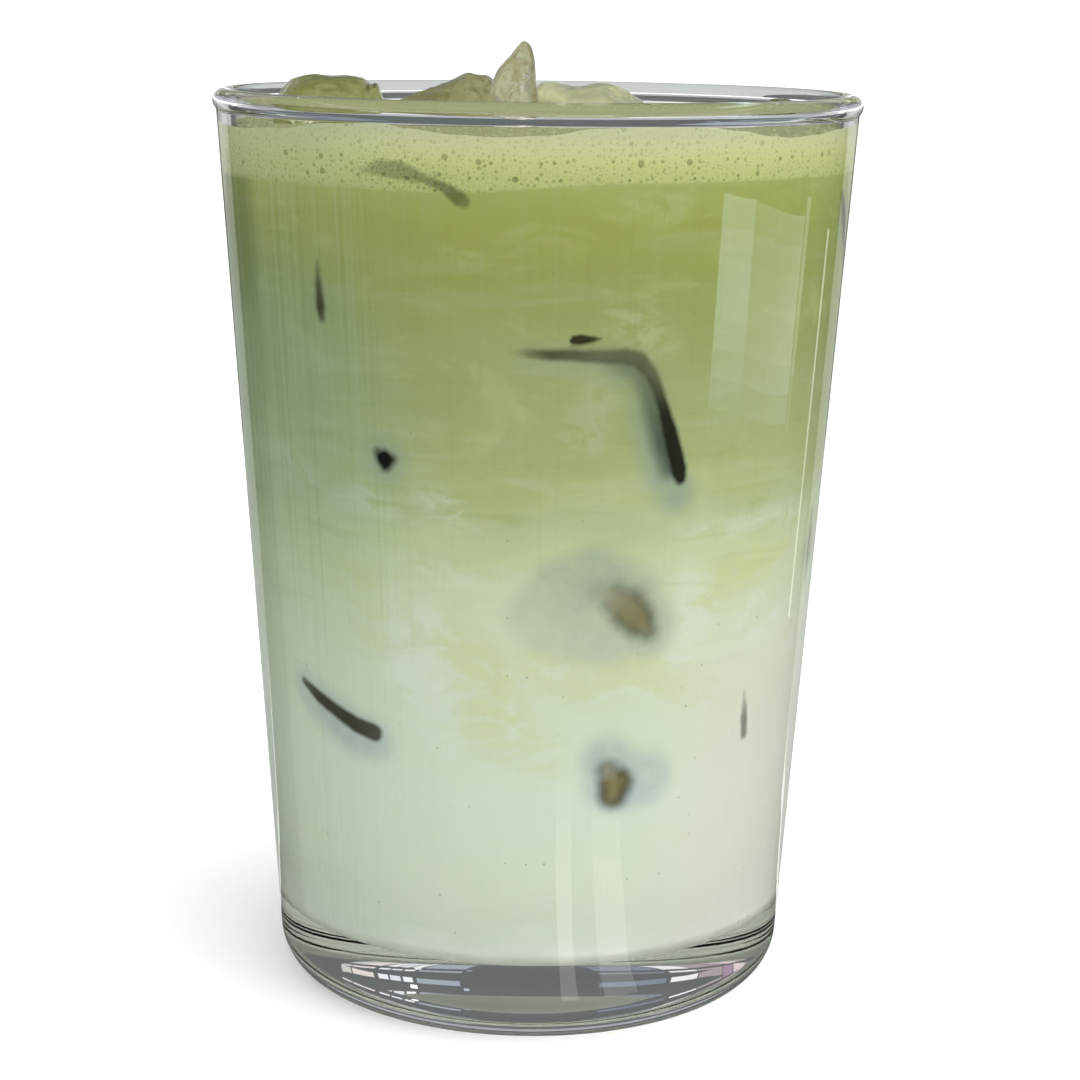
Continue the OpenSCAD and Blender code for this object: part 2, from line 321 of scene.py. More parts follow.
# Ice sunk in the drink that touches the glass, as strokes of (angle, height, half width, darkness), then the width of
# the soft edge and how brown it is.
MARKS = {
    "crescent": ([(-31.0, 116.2, 0.3, 0.26), (-27.5, 116.7, 0.9, 0.42), (-24.1, 116.5, 1.1, 0.46),
                  (-21.2, 116.0, 0.8, 0.46), (-19.0, 115.5, 0.5, 0.5), (-15.5, 114.5, 0.6, 0.62),
                  (-13.0, 113.3, 0.9, 0.62), (-12.2, 112.9, 0.7, 0.5)], 0.42, 0.5),
    "sliver": ([(-41.9, 104.6, 0.08, 0.45), (-42.0, 101.4, 0.5, 0.78), (-41.8, 98.6, 0.72, 0.9),
                (-41.6, 97.2, 0.4, 0.85)], 0.6, 0.5),
    "drop": ([(6.9, 96.05, 0.5, 1.0), (8.2, 96.1, 0.62, 1.0), (10.1, 96.1, 0.4, 1.0),
              (12.0, 96.15, 0.08, 0.7)], 0.28, 0.8),
    "bend": ([(-4.0, 94.4, 0.2, 0.1), (-0.8, 94.3, 0.5, 0.5), (2.7, 94.2, 0.6, 0.8), (6.8, 94.1, 0.65, 0.72),
              (11.6, 93.9, 0.8, 0.6), (16.4, 93.85, 0.95, 0.62), (18.9, 93.4, 1.0, 0.62), (21.2, 91.7, 0.8, 0.6),
              (22.7, 89.7, 0.7, 0.72), (24.0, 87.4, 0.7, 0.95), (25.4, 84.6, 0.9, 1.05), (27.0, 81.3, 1.0, 1.1),
              (28.1, 78.9, 1.0, 1.1), (28.5, 77.8, 0.8, 1.0)], 0.5, 0.35),
    "spot": ([(-30.0, 80.6, 0.4, 0.9), (-28.6, 79.9, 1.0, 1.25), (-27.0, 79.9, 0.5, 1.0),
              (-28.4, 79.1, 0.7, 1.15)], 0.8, 0.0),
    "smear": ([(13.0, 63.4, 0.8, 0.3), (16.4, 62.4, 1.9, 0.56), (19.0, 61.0, 2.4, 0.78), (21.3, 59.3, 2.1, 0.85),
               (23.2, 57.9, 1.2, 0.74)], 1.5, 1.2),
    "bar": ([(-53.9, 47.2, 0.5, 0.85), (-49.0, 45.7, 0.85, 0.95), (-43.6, 44.4, 0.95, 0.95), (-38.0, 43.1, 1.1, 0.95),
             (-33.6, 42.6, 1.2, 0.9)], 0.5, 0.6),
    "blot": ([(16.2, 39.0, 1.4, 0.65), (17.9, 37.2, 2.2, 0.95), (17.5, 35.7, 1.8, 0.95)], 1.2, 1.5),
    "streak": ([(49.6, 47.0, 0.1, 0.4), (50.2, 43.4, 0.6, 0.7), (50.6, 40.8, 0.55, 0.7)], 0.45, 1.2),
    "side": ([(72.0, 112.3, 0.5, 0.6), (74.5, 110.2, 0.8, 0.8), (77, 107.5, 0.9, 0.85), (79.2, 104.8, 0.75, 0.8),
              (80.7, 102.6, 0.5, 0.6)], 0.9, 0.2),
    "far": ([(73.9, 69.0, 0.5, 0.35), (74.4, 66.5, 0.7, 0.5), (74.6, 63.5, 0.75, 0.5),
             (74.2, 60.0, 0.5, 0.35)], 1.0, 0.3),
    "back": ([(128, 92.4, 0.6, 0.4), (134, 91.6, 0.9, 0.8), (140, 89.6, 1.0, 0.95), (144.5, 85.6, 1.1, 1.0),
              (147, 81.0, 1.1, 1.0), (148, 77, 0.9, 0.9)], 0.8, 0.5),
    "back_low": ([(-161, 65, 1.4, 0.3), (-156, 65.6, 2.1, 0.5), (-150, 64.2, 2.3, 0.6),
                  (-145.5, 61.4, 1.6, 0.5)], 2.2, 1.0),
    "back_bar": ([(-120, 98.2, 0.5, 0.5), (-115, 98.0, 0.75, 0.75), (-109, 97.0, 0.8, 0.8),
                  (-104, 95.0, 0.7, 0.7)], 0.7, 0.5),
}
# A soft shade along the long bent touch, as a stroke of (angle, height, half width, strength).
SHADE = [(14.0, 92.9, 0.5, 0.35), (18.6, 91.9, 0.9, 0.5), (20.8, 89.6, 1.0, 0.6), (22.4, 86.2, 1.1, 0.75),
         (24.2, 82.4, 1.2, 0.85), (26.0, 79.2, 1.1, 0.8)]
# Bluish grey haze round the touches, as strokes of (angle, height, half width, strength).
HAZE = [
    [(-1, 94.1, 0.8, 0.3), (7, 93.7, 1.0, 0.5), (17, 92.3, 1.6, 0.7), (20.0, 90.2, 1.4, 0.7), (21.4, 86.5, 1.5, 0.85),
     (23.0, 82.0, 1.6, 0.9), (25.2, 78.2, 1.6, 0.95), (27.6, 76.0, 1.6, 0.95)],
    [(-28.4, 79.7, 2.2, 0.8)],
    [(0.4, 60.5, 2.6, 0.5), (6.1, 63.5, 3.6, 0.8), (12.3, 65.0, 3.4, 0.95), (18.6, 62.2, 3.6, 0.95),
     (22.4, 58.4, 3.4, 0.75)],
    [(3.0, 59.0, 2.8, 0.45), (9.0, 58.6, 3.4, 0.6), (16.0, 57.6, 3.2, 0.6)],
    [(-53.5, 46.6, 1.6, 0.6), (-49.0, 45.0, 2.0, 0.8), (-43.6, 43.4, 2.2, 0.85), (-38.0, 42.0, 2.2, 0.85),
     (-34.2, 41.7, 2.0, 0.75)],
    [(15.8, 40.6, 2.2, 0.85), (18.2, 37.6, 3.2, 0.9), (24.0, 37.6, 3.0, 0.6)],
    [(75, 109, 2.4, 0.6)],
    [(74.4, 64, 2.0, 0.6)],
    [(-41.4, 99.5, 1.3, 0.4)],
    [(135, 90, 2.4, 0.6), (145, 83, 2.4, 0.7)],
    [(-158, 65, 4.0, 0.6), (-148, 61, 3.5, 0.6)],
    [(-111, 96.5, 1.8, 0.5)],
]
# Clouds of milk, and yellow-green swirls of matcha, as the same kind of strokes.
PALE = [
    [(-25, 63, 2.0, 0.35), (-22.5, 57, 4.0, 0.65), (-22, 50, 3.8, 0.6), (-18, 43, 2.5, 0.35)],
    [(-40, 74, 0.7, 0.4), (-34, 74.4, 1.1, 0.55), (-29, 73.4, 0.7, 0.35)],
    [(-22, 75.6, 0.4, 0.4), (-16, 74.2, 0.9, 0.6), (-11, 72.2, 0.4, 0.35)],
    [(28, 70.6, 0.4, 0.4), (38, 70.2, 0.6, 0.55), (50, 70.8, 0.7, 0.55), (60, 71.0, 0.8, 0.55),
     (67, 69.6, 0.9, 0.45)],
    [(31, 65, 1.2, 0.4), (34, 60, 2.4, 0.6), (33, 54, 2.0, 0.45)],
    [(50, 57, 3.0, 0.4), (58, 55.5, 3.6, 0.45), (68, 54, 3.6, 0.45)],
    [(14, 98.6, 1.0, 0.35), (19, 97.4, 1.6, 0.45), (25, 95, 1.2, 0.3)],
    [(18.6, 112.6, 1.3, 0.3), (19.4, 111.4, 1.3, 0.3)],
    [(24.2, 112.5, 1.9, 0.36)],
    [(-27, 66.4, 0.7, 0.35), (-14, 65.2, 0.9, 0.45), (-2, 65.6, 0.6, 0.35)],
    [(-70, 80, 1.5, 0.3), (-52, 77, 1.4, 0.35), (-46, 75, 0.8, 0.3)],
    [(9, 84, 2.4, 0.25), (12, 90, 1.5, 0.2)],
    [(100, 66, 2.5, 0.6), (120, 62, 3.5, 0.6), (150, 66, 2.0, 0.5)],
    [(-170, 60, 4, 0.5), (-130, 64, 3.0, 0.6), (-100, 58, 3.5, 0.5)],
]
GREEN = [
    [(-14, 57, 1.8, 0.5), (-9, 51, 3.4, 0.65), (-6, 45, 3.6, 0.6), (2, 41.5, 2.4, 0.45)],
    [(2, 53, 2.4, 0.45), (12, 51, 2.6, 0.5), (22, 52, 2.6, 0.6), (34, 49, 2.4, 0.45), (44, 46, 2.0, 0.35)],
    [(37, 62.5, 1.6, 0.5), (47, 65, 2.0, 0.65), (58, 66.2, 1.6, 0.5)],
    [(-50, 66, 2.0, 0.4), (-36, 62.5, 2.2, 0.5), (-32, 55, 1.8, 0.35)],
    [(100, 54, 3, 0.5), (130, 50, 3, 0.5)],
    [(-90, 50, 3, 0.5), (-140, 53, 3, 0.5)],
]


def stroke(deg, z, r, nodes):
    """Signed distance in mm into a tapered stroke on the wall, with the strength there."""
    best, val = np.full(len(z), -99.0), np.zeros(len(z))
    for a, b in zip(nodes[:-1], nodes[1:]) if len(nodes) > 1 else [nodes * 2]:
        ax, bx = np.radians(a[0]) * r, np.radians(b[0]) * r
        px = np.radians(deg) * r
        dx, dz = bx - ax, b[1] - a[1]
        t = np.clip(((px - ax) * dx + (z - a[1]) * dz) / np.maximum(dx * dx + dz * dz, 1e-9), 0, 1)
        d = (a[2] + (b[2] - a[2]) * t) - np.hypot(px - ax - dx * t, z - a[1] - dz * t)
        s = a[3] + (b[3] - a[3]) * t
        val = np.where(d > best, s, val)
        best = np.maximum(best, d)
    return best, val


def soft_strokes(deg, z, r, lines, reach):
    """Strength of the strongest stroke, let out softly over reach mm."""
    out = np.zeros(len(z))
    for nodes in lines:
        d, v = stroke(deg, z, r, nodes)
        out = np.maximum(out, v * smooth(-reach, 1.0, d))
    return out


def wall_marks(deg, z):
    """What shows at the glass at each point, as values that the materials read."""
    r = r_in(z)
    sd, dark = np.full(len(z), -99.0), np.zeros(len(z))
    soft, brown = np.full(len(z), 0.5), np.zeros(len(z))
    for nodes, edge, wood in MARKS.values():
        d, s = stroke(deg, z, r, nodes)
        near = d / edge > sd / soft
        sd, dark = np.where(near, d, sd), np.where(near, s, dark)
        soft, brown = np.where(near, edge, soft), np.where(near, wood, brown)
    d, s = stroke(deg, z, r, SHADE)
    shade = s * smooth(-1.3, 1.1, d)
    froth = smooth(-2.4, -0.3, stroke(deg, z, r, MARKS["crescent"][0])[0])
    over = z - boundary(2, deg)
    return {
        "sunk": np.clip(sd, -6, 6), "dark": dark, "soft": soft, "brown": brown, "shade": shade,
        "haze": soft_strokes(deg, z, r, HAZE, 2.6), "pale": soft_strokes(deg, z, r, PALE, 2.4),
        "green": soft_strokes(deg, z, r, GREEN, 3.0), "froth": froth, "over": over,
    }


N = 480  # points round the drink
ANG = -180 + 360 * np.arange(N) / N


def boundary(k, deg):
    """Height at the glass of the boundary over the milk (0), the blend (1) or the matcha (2)."""
    z, a, turn = ((MILK_Z, 2.2, 20), (MATCHA_Z, 1.8, 265), (FOAM_Z, 0.5, 150))[k]
    r = r_in(z)
    z = z + swell(r * sind(deg), -r * cosd(deg), a, turn)
    return z - 1.5 * smooth(16, -18, deg) * smooth(-120, -80, deg) if k == 2 else z  # foam hangs lower at the left


def wall_rows(z0, z1, step):
    """Rows of wall points from height z0 to z1, each given for every angle."""
    n = max(2, int(math.ceil(float(np.max(z1 - z0)) / step)) + 1)
    return [z0 + (z1 - z0) * i / (n - 1) for i in range(n)]


def layer(rows_low, z0, z1, top=(), step=0.5):
    """Points, faces and wall marks of a layer. rows_low gives rings (r, z) under the wall, top gives rings over it."""
    pts = [np.c_[r * sind(ANG), -r * cosd(ANG), np.full(N, z)] for r, z in rows_low]
    for z in wall_rows(z0, z1, step):
        r = r_in(z) + BITE
        pts.append(np.c_[r * sind(ANG), -r * cosd(ANG), z])
    pts += [np.c_[r * sind(ANG), -r * cosd(ANG), z] for r, z in top]
    v = np.vstack(pts)
    rows = len(pts)
    faces = grid_faces(rows, N)
    low, high, last = len(v), len(v) + 1, (rows - 1) * N
    v = np.vstack([v, [[0, 0, v[:N, 2].mean()]], [[0, 0, v[last:, 2].mean()]]])
    faces += [(low, (j + 1) % N, j) for j in range(N)]
    faces += [(high, last + j, last + (j + 1) % N) for j in range(N)]
    attrs = wall_marks(np.degrees(np.arctan2(v[:, 0], -v[:, 1])), v[:, 2])
    inside = np.hypot(v[:, 0], v[:, 1]) < r_in(v[:, 2]) - 0.8
    for key in ("haze", "dark", "shade", "pale", "green", "froth"):
        attrs[key] = np.where(inside, 0, attrs[key])
    return v, faces, attrs, rows


def drink_layer(name, node, slot, *args, **kw):
    """A layer as a piece, with the number of the ring that each of its edges lies along, or -1."""
    v, faces, attrs, rows = layer(*args, **kw)
    ob = mesh_piece(name, v, faces, node, slot, attrs=attrs)
    ends = np.minimum(np.array([e.vertices[:] for e in ob.data.edges]) // N, rows)
    return ob, np.where(ends[:, 0] == ends[:, 1], ends[:, 0], -1)


def set_sharp(ob, ring, *at):
    """Sharp edges along some rings, so that the wall's normals stay square to it right up to them."""
    me = ob.data
    mark = me.attributes.get("sharp_edge") or me.attributes.new("sharp_edge", "BOOLEAN", "EDGE")
    mark.data.foreach_set("value", np.isin(ring, at))


# milk: floor, fillet, wall
turns = np.linspace(0, math.pi / 2 - LEAN, 14)
fillet_r = FLOOR_ROUND + BITE
fillet = [(FLOOR_C + fillet_r * math.sin(t), BASE + FLOOR_ROUND - fillet_r * math.cos(t)) for t in turns]
floor = [(FLOOR_C * 0.4, BASE - BITE), (FLOOR_C * 0.8, BASE - BITE)]
wall_from = np.full(N, fillet[-1][1] + 0.35)
milk, ring = drink_layer("milk_skin", "milk", "milk", floor + fillet, wall_from, boundary(0, ANG))
set_sharp(milk, ring, ring.max())
blend, ring = drink_layer("blend_skin", "blend", "milk_matcha", [], boundary(0, ANG), boundary(1, ANG))
set_sharp(blend, ring, 0, ring.max())
matcha, ring = drink_layer("matcha_skin", "matcha", "matcha", [], boundary(1, ANG), boundary(2, ANG))
set_sharp(matcha, ring, 0, ring.max())

# foam: its top climbs the glass and sinks into pits round the ice
edge_h = LEVEL + edge_at(ANG)
PIT_DEPTH, FOAM_STEP = 4.0, 0.35


def top_height(x, y, r, lip):
    """Height of the foam's top at (x, y), r from the axis, where its edge at the glass is at the height lip."""
    z = LEVEL + swell(x, y, 0.3, 40) + (lip - LEVEL) * np.exp((r - level_r) / 1.2)
    p = np.c_[x, y, np.zeros(len(x))]
    z = z + 0.10 * wavy(p, 3, 9.0) * smooth(level_r, level_r - 4, r)
    pit = np.zeros(len(x))
    for name in ICE:
        d = footprint(x, y, name)
        pit = np.maximum(pit, smooth(0.2, 2.6, d))
        z = z + 0.5 * np.exp(-((d + 0.3) / 0.9) ** 2) * smooth(level_r, level_r - 2, r)
    return z - PIT_DEPTH * pit


rings = []
near_glass = 1 - np.array([0.002, 0.006, 0.012, 0.02, 0.03, 0.042, 0.056])
for f in [*near_glass, *np.linspace(0.93, 0.02, 96)]:
    r = f * (level_r + BITE)
    rings.append((r, top_height(r * sind(ANG), -r * cosd(ANG), r, edge_h)))
foam, ring = drink_layer("foam_skin", "foam", "foam", [], boundary(2, ANG), edge_h, top=rings, step=FOAM_STEP)
n_wall = len(wall_rows(boundary(2, ANG), edge_h, FOAM_STEP))
set_sharp(foam, ring, 0, n_wall - 1)
me = foam.data
co = np.array([v.co[:] for v in me.vertices]) / MM
# the pit attribute: where the foam's material paints shade into the pits round the ice
pit = np.zeros(len(co))
for name in ICE:
    pit = np.maximum(pit, smooth(-0.2, 2.0, footprint(co[:, 0], co[:, 1], name)))
row = np.arange(len(co)) // N
on_top = (row >= n_wall) & (row < n_wall + len(rings))
for key, values in (("pit", np.where(on_top, pit, 0)), ("top", on_top)):
    me.attributes.new(key, "FLOAT", "POINT").data.foreach_set("value", values.astype(np.float32))

# ---------- ice
ice = {}
for name in ICE:
    v, f = ice_shape(name)
    ice[name] = mesh_piece(name + "_melted", v, f, name, "ice")


# ---------- bubbles on the foam: one piece, true size
def dome(cx, cy, cz, r, n=10, rows=4, low=25):
    """A bubble that stands up from low degrees under its middle."""
    v = []
    for i in range(rows):
        t = math.radians(-low + (90 + low) * i / rows)
        for j in range(n):
            a = 2 * math.pi * j / n
            v.append((cx + r * math.cos(t) * math.cos(a), cy + r * math.cos(t) * math.sin(a), cz + r * math.sin(t)))
    v.append((cx, cy, cz + r))
    last = (rows - 1) * n
    f = grid_faces(rows, n) + [(last + j, last + (j + 1) % n, rows * n) for j in range(n)]
    f.append(tuple(range(n - 1, -1, -1)))
    return v, f


BUBBLES, TRIES = 1500, 40000
verts, faces, placed = [], [], []
tries = 0
while len(placed) < BUBBLES and tries < TRIES:
    tries += 1
    a, _ = rng.random() * 360 - 180, rng.random()  # the second draw is let go; the places depend on it
    r = level_r * math.sqrt(rng.random())
    x, y = float(r * sind(a)), float(-r * cosd(a))
    d = max(float(footprint(np.array([x]), np.array([y]), n)[0]) for n in ICE)
    # more of them, and larger, at the glass and round the ice
    near = max(math.exp(-((level_r - r) / 3.0)), math.exp(-abs(min(d, 0)) / 1.6))
    if d > -0.25 or rng.random() > 0.12 + near:
        continue
    size = 0.16 + 0.55 * rng.random() ** 4 + 0.18 * near * rng.random()
    if r > level_r - size - 0.25:
        continue
    if any((x - px) ** 2 + (y - py) ** 2 < (size + ps) ** 2 * 0.8 for px, py, ps in placed):
        continue
    placed.append((x, y, size))
    z = top_height(np.array([x]), np.array([y]), r, LEVEL + float(edge_at(np.array([a]))[0]))
    v, f = dome(x, y, float(z[0]) - size * 0.25, size)
    faces += [tuple(len(verts) + i for i in face) for face in f]
    verts += v
bubbles = mesh_piece("foam_bubbles", verts, faces, None, "foam")


# ---------- materials
def lin(c):
    c = c / 255
    return c / 12.92 if c <= 0.04045 else ((c + 0.055) / 1.055) ** 2.4


def rgb(r, g, b, gain=1.0):
    """A colour from its 0 to 255 values, made lighter by gain, which may differ for red, green and blue."""
    gain = gain if isinstance(gain, tuple) else (gain,) * 3
    return tuple(min(lin(c) * k, 0.93) for c, k in zip((r, g, b), gain)) + (1,)


GAIN = (1.16, 1.115, 1.16)
SPAN = 125.0  # height in mm that the colours by height are spread over


def tone(r, g, b):
    """A colour of the drink."""
    return rgb(r, g, b, GAIN)


class Nodes:
    """Short names for making a node tree."""

    def __init__(self, name):
        self.mat = bpy.data.materials.new(name)
        self.mat.use_nodes = True
        self.t = self.mat.node_tree
        self.t.nodes.clear()
        self.out = self.t.nodes.new("ShaderNodeOutputMaterial")

    def add(self, kind, **sets):
        n = self.t.nodes.new(kind)
        for k, v in sets.items():
            setattr(n, k, v)
        return n

    def link(self, a, b):
        self.t.links.new(a, b)

    def put(self, socket, v):
        if isinstance(v, bpy.types.NodeSocket):
            self.link(v, socket)
        else:
            socket.default_value = v

    def math(self, op, a, b=0.0, c=0.0, clamp=False):
        n = self.add("ShaderNodeMath", operation=op, use_clamp=clamp)
        for s, v in zip(n.inputs, (a, b, c)):
            self.put(s, v)
        return n.outputs[0]

    def times(self, first, *more):
        for v in more:
            first = self.math("MULTIPLY", first, v)
        return first

    def centred(self, v, width):
        """A noise from 0 to 1, spread over width mm to both sides of 0."""
        return self.math("MULTIPLY_ADD", v, width, -width / 2)

    def attr(self, name):
        return self.add("ShaderNodeAttribute", attribute_name=name).outputs["Fac"]

    def range(self, v, a, b, lo=0.0, hi=1.0):
        """Goes smoothly from lo at a to hi at b."""
        n = self.add("ShaderNodeMapRange", interpolation_type="SMOOTHSTEP")
        for k, x in enumerate((v, a, b, lo, hi)):
            self.put(n.inputs[k], x)
        return n.outputs[0]

    def mix(self, f, a, b):
        n = self.add("ShaderNodeMix", data_type="RGBA", blend_type="MIX")
        self.put(n.inputs[0], f)
        self.put(n.inputs[6], a)
        self.put(n.inputs[7], b)
        return n.outputs[2]

    def noise(self, vec, scale, detail=2.0, rough=0.5, warp=0.0):
        n = self.add("ShaderNodeTexNoise")
        self.put(n.inputs["Vector"], vec)
        n.inputs["Scale"].default_value = scale
        n.inputs["Detail"].default_value = detail
        n.inputs["Roughness"].default_value = rough
        n.inputs["Distortion"].default_value = warp
        return n.outputs[0]

    def vector(self, x, y, z=0.0):
        n = self.add("ShaderNodeCombineXYZ")
        for s, v in zip(n.inputs, (x, y, z)):
            self.put(s, v)
        return n.outputs[0]

    def in_mm(self):
        """The piece's own coordinates in mm."""
        n = self.add("ShaderNodeVectorMath", operation="SCALE")
        self.link(self.add("ShaderNodeTexCoord").outputs["Object"], n.inputs[0])
        n.inputs["Scale"].default_value = 1 / MM
        return n.outputs[0]

    def scaled(self, vec, x, y, z):
        n = self.add("ShaderNodeMapping")
        self.link(vec, n.inputs[0])
        n.inputs["Scale"].default_value = (x, y, z)
        return n.outputs[0]

    def ramp(self, v, stops):
        n = self.add("ShaderNodeValToRGB")
        n.color_ramp.interpolation = "LINEAR"
        e = n.color_ramp.elements
        while len(e) > 1:
            e.remove(e[-1])
        e[0].position, e[0].color = stops[0]
        for p, c in stops[1:]:
            e.new(p).color = c
        self.put(n.inputs[0], v)
        return n.outputs[0]


def drink_material(name, foam=False):
    """Milk going over to matcha by height, with what shows at the wall. For foam, its side and its top as well."""
    m = Nodes(name)
    place = m.in_mm()
    sep = m.add("ShaderNodeSeparateXYZ")
    m.link(place, sep.inputs[0])
    x, y, z = sep.outputs
    # way round the wall in mm: arc is 0 at the front, back is 0 at the back
    arc = m.times(m.math("ARCTAN2", x, m.times(y, -1.0)), 40.0)
    back = m.times(m.math("ARCTAN2", m.times(x, -1.0), y), 40.0)
    rear = m.range(m.math("ABSOLUTE", arc), 78, 98)
    turned = m.range(arc, -88, -62)  # 0 behind, where what is at the left has ended

    def on_wall(around, sx, sz, seed=0.0):
        return m.vector(m.times(around, sx), m.times(z, sz), seed)

    def flow(sx, sz, seed, *args):
        """Noise on the wall. At the back it goes over to a second one, whose own join is at the front."""
        one = m.noise(on_wall(arc, sx, sz, seed), 1.0, *args)
        two = m.noise(on_wall(back, sx, sz, seed + 20), 1.0, *args)
        return m.math("MULTIPLY_ADD", m.math("SUBTRACT", two, one), rear, one)

    def dots(cell, small, large, share, where=None):
        """Dots of small to large mm radius, one in a share of the cells of cell mm."""
        v = m.add("ShaderNodeTexVoronoi", feature="F1", voronoi_dimensions="2D")
        m.link(where or on_wall(arc, 1 / cell, 1 / cell), v.inputs["Vector"])
        v.inputs["Scale"].default_value = 1.0
        v.inputs["Randomness"].default_value = 0.9
        c = m.add("ShaderNodeSeparateColor")
        m.link(v.outputs["Color"], c.inputs[0])
        size = m.math("MULTIPLY_ADD", m.math("POWER", c.outputs[0], 2.5), (large - small) / cell, small / cell)
        inside = m.range(m.math("SUBTRACT", size, v.outputs["Distance"]), -0.04 / cell, 0.07 / cell)
        return m.times(inside, m.math("LESS_THAN", c.outputs[1], share))

    # slow drift of the layers, calm at the top
    drift = flow(0.030, 0.055, 3.1, 4.0, 0.55, 0.5)
    streak = flow(0.045, 0.30, 8.2, 4.0, 0.6, 0.8)
    calm = m.range(z, 104, 112, 1.0, 0.12)
    shift = m.math("ADD", m.centred(drift, 16.0), m.centred(streak, 7.0))
    h = m.math("DIVIDE", m.math("ADD", z, m.times(shift, calm)), SPAN)
    stops = [
        (11, (222, 231, 214)), (14, (208, 218, 202)), (18, (198, 209, 190)), (25, (202, 213, 193)),
        (35, (203, 215, 196)), (44, (200, 213, 189)), (52, (200, 212, 186)), (58, (197, 209, 179)),
        (63, (194, 206, 170)), (68, (184, 198, 153)), (73, (174, 187, 144)), (78, (167, 180, 126)),
        (84, (158, 171, 118)), (90, (154, 167, 114)), (95, (152, 164, 106)), (100, (148, 160, 96)),
        (105, (147, 158, 88)), (110, (149, 160, 86)), (115, (154, 166, 96)),
    ]
    col = m.ramp(h, [(p / SPAN, tone(*c)) for p, c in stops])
    # fine wisps drawn sideways, and cloudy mottling
    wisp = flow(0.05, 0.34, 1.7, 3.0, 0.5, 0.7)
    wisp_pale = m.times(m.range(wisp, 0.50, 0.76), m.range(z, 70, 95, 0.16, 0.09))
    wisp_dark = m.times(m.range(wisp, 0.44, 0.28), m.range(z, 40, 75, 0.0, 0.22))
    col = m.mix(wisp_pale, col, tone(206, 216, 196))
    col = m.mix(wisp_dark, col, tone(136, 150, 76))
    mottle = flow(0.10, 0.15, 5.5, 4.0, 0.6, 0.8)
    mottled = m.times(m.range(mottle, 0.52, 0.72), m.range(z, 60, 90, 0.10, 0.20))
    col = m.mix(mottled, col, tone(196, 206, 150))
    # yellow-green swirls and clouds of milk, with ragged edges
    rag = flow(0.14, 0.26, 6.4, 5.0, 0.62, 1.6)
    green = m.times(m.attr("green"), m.range(rag, 0.36, 0.56), 0.9)
    col = m.mix(green, col, m.ramp(h, [(0.3, tone(196, 206, 160)), (0.56, tone(188, 197, 130))]))
    pale = m.times(m.attr("pale"), m.range(rag, 0.62, 0.42), 0.9)
    pale_tones = [(0.4, tone(212, 220, 212)), (0.62, tone(200, 211, 192)), (0.85, tone(184, 194, 142))]
    col = m.mix(pale, col, m.ramp(h, pale_tones))
    # painted light: the milk made warmer at the right, where the light falls
    painted_warm_light = m.times(m.range(arc, 14, 34), m.range(arc, 88, 62), m.range(z, 62, 44, 0.0, 0.5))
    col = m.mix(painted_warm_light, col, tone(208, 209, 198))
    # painted shade: cooler and darker at the left, away from the light, with upright lines
    left = m.times(m.range(arc, -10, -34), turned, m.range(z, 40, 80, 0.25), m.range(z, 112, 96, 0.35))
    col = m.mix(m.times(left, 0.40), col, tone(124, 153, 130))
    # painted shade: darker still near the left edge, high up, where the light falls least
    edge = m.times(m.range(arc, -40, -46), turned, m.range(z, 92, 104, 0.25))
    col = m.mix(m.times(edge, 0.48), col, tone(86, 105, 52))
    # the upright lines are painted light and shade: streaks that the glass's faint draw lines throw on the drink
    up = flow(1.6, 0.006, 9.3, 3.0, 0.7)
    lined = m.times(m.range(arc, -14, -30, 0.07, 0.27), m.range(arc, -88, -62, 0.3), m.range(z, 45, 75, 0.45))
    col = m.mix(m.times(m.range(up, 0.52, 0.68), lined), col, tone(160, 182, 150))
    col = m.mix(m.times(m.range(up, 0.48, 0.32), lined, 0.6), col, tone(96, 112, 60))
    # specks of matcha in the milk
    speck = dots(2.6, 0.06, 0.17, 0.16)
    col = m.mix(m.times(speck, m.range(z, 92, 70, 0.25, 0.6)), col, tone(104, 116, 58))
    if foam:
        # the side of the foam over the matcha, with the bubbles that show in it
        side = m.ramp(m.math("DIVIDE", z, SPAN), [(p / SPAN, tone(*c)) for p, c in (
            (115, (176, 187, 120)), (116.6, (182, 192, 126)), (118, (189, 197, 134)),
            (119.8, (191, 198, 148)), (121.6, (184, 190, 152)))])
        # painted shade: the foam's side cooler and darker at the left, away from the light
        side = m.mix(m.times(m.range(arc, -14, -32), turned, 0.60), side, tone(160, 173, 130))
        low = m.range(z, 120.2, 117.0, 0.45)
        fine, middling, large = dots(0.42, 0.05, 0.15, 0.8), dots(0.74, 0.10, 0.27, 0.8), dots(2.1, 0.22, 0.44, 0.42)
        side = m.mix(m.times(fine, low, 0.42), side, tone(134, 148, 84))
        side = m.mix(m.times(middling, low, 0.5), side, tone(112, 126, 62))
        side = m.mix(m.times(large, low, 0.60), side, tone(96, 106, 50))
        near = dots(0.36, 0.07, 0.16, 0.9)
        side = m.mix(m.times(near, m.attr("froth"), 0.55), side, tone(116, 134, 100))
        over = m.math("ADD", m.attr("over"), m.centred(flow(0.5, 0.8, 2.2, 3.0, 0.6), 1.2))
        softness = m.math("ADD", m.times(m.range(arc, -12, -28), turned), 0.5)
        col = m.mix(m.range(m.math("DIVIDE", over, softness), -0.4, 0.8), col, side)
    # sunk ice at the glass: haze, then a soft shade, then the dark touch itself
    haze = m.times(m.attr("haze"), m.range(m.noise(place, 0.35, 3.0, 0.6), 0.30, 0.62, 0.72, 1.0), 0.85)
    hazy = m.ramp(h, [(0.25, tone(150, 164, 174)), (0.50, tone(158, 168, 148)), (0.62, tone(140, 156, 142)),
                      (0.8, tone(126, 143, 118))])
    col = m.mix(haze, col, hazy)
    col = m.mix(m.attr("shade"), col, rgb(58, 72, 62))
    depth = m.math("ADD", m.attr("sunk"), m.centred(m.noise(place, 0.9, 2.0, 0.6), 0.30))
    touch = m.range(m.math("DIVIDE", depth, m.attr("soft")), -1.0, 0.75)
    touch = m.math("MULTIPLY", touch, m.attr("dark"), clamp=True)
